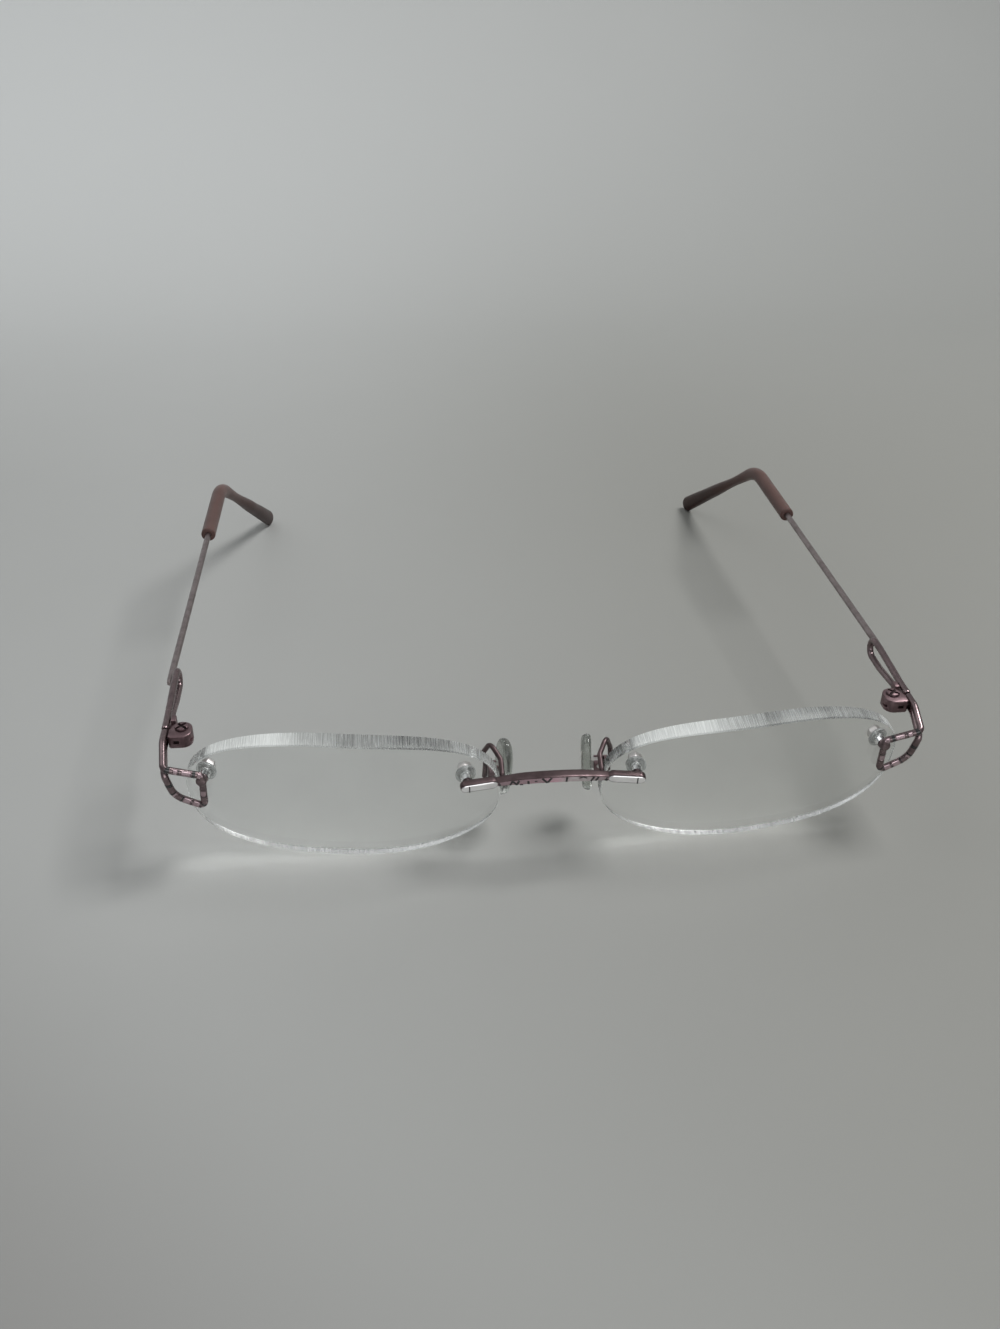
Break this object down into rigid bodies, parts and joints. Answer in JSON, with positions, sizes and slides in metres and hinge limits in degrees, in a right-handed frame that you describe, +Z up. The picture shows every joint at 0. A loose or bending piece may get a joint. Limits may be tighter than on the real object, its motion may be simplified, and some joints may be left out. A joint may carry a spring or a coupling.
{
  "type": "rimless reading glasses",
  "caption": "Rimless reading glasses with clear drilled lenses, an arched metal bridge, bent wire end pieces, folding wire temples, brown tips and rocking nose pads.",
  "frame": {"origin": "middle of the glasses on the surface they stand on, halfway between the bridge and the ends of the tips", "axes": "+X towards the wearer's left, +Y back along the temples, +Z up; the lenses face -Y"},
  "size_m": [0.1264, 0.1402, 0.0257],
  "materials": {
    "lens": "clear and polished",
    "clear_plastic": "clear, slightly milky",
    "pad_plastic": "soft clear silicone",
    "polished_metal": "polished mauve plating with dark engraving",
    "wire_metal": "satin mauve plating",
    "hinge_metal": "cast, slightly pitted mauve plating",
    "screw_steel": "bright turned steel",
    "tip_plastic": "translucent brown plastic"
  },
  "bodies": {
    "front": {"bridge": "polished_metal", "lens_right": "lens", "lens_left": "lens", "lens_bushing_nasal_right": "clear_plastic", "lens_bushing_temporal_right": "clear_plastic", "lens_bushing_nasal_left": "clear_plastic", "lens_bushing_temporal_left": "clear_plastic", "rear_washer_nasal_right": "screw_steel", "rear_washer_temporal_right": "screw_steel", "rear_washer_nasal_left": "screw_steel", "rear_washer_temporal_left": "screw_steel", "lens_nut_nasal_right": "screw_steel", "lens_nut_temporal_right": "screw_steel", "lens_nut_nasal_left": "screw_steel", "lens_nut_temporal_left": "screw_steel", "end_piece_right": "wire_metal", "end_piece_left": "wire_metal", "hinge_knuckles_right": "hinge_metal", "hinge_knuckles_left": "hinge_metal", "hinge_screw_right": "screw_steel", "hinge_screw_left": "screw_steel", "pad_arm_right": "wire_metal", "pad_arm_left": "wire_metal", "pad_box_right": "hinge_metal", "pad_box_left": "hinge_metal", "pad_screw_right": "screw_steel", "pad_screw_left": "screw_steel"},
    "temple_right": {"hinge_tongue_right": "hinge_metal", "temple_loop_right": "wire_metal", "temple_wire_right": "wire_metal", "temple_tip_right": "tip_plastic"},
    "temple_left": {"hinge_tongue_left": "hinge_metal", "temple_loop_left": "wire_metal", "temple_wire_left": "wire_metal", "temple_tip_left": "tip_plastic"},
    "pad_right": {"nose_pad_right": "pad_plastic", "pad_lug_right": "screw_steel"},
    "pad_left": {"nose_pad_left": "pad_plastic", "pad_lug_left": "screw_steel"}
  },
  "joints": [
    {"name": "temple_fold_right", "type": "hinge", "parent": "front", "child": "temple_right", "pos_m": [-0.05875, -0.05874, 0.02099], "axis": [0, 0.0399, -0.9992], "range_deg": [0, 80]},
    {"name": "temple_fold_left", "type": "hinge", "parent": "front", "child": "temple_left", "pos_m": [0.05875, -0.05874, 0.02099], "axis": [0, -0.0399, 0.9992], "range_deg": [0, 88]},
    {"name": "pad_rock_right", "type": "hinge", "parent": "front", "child": "pad_right", "pos_m": [-0.00903, -0.05996, 0.01191], "axis": [-0.1487, 0.9884, 0.0316], "range_deg": [-10, 10]},
    {"name": "pad_rock_left", "type": "hinge", "parent": "front", "child": "pad_left", "pos_m": [0.00903, -0.05996, 0.01191], "axis": [0.1487, 0.9884, 0.0316], "range_deg": [-10, 10]}
  ]
}
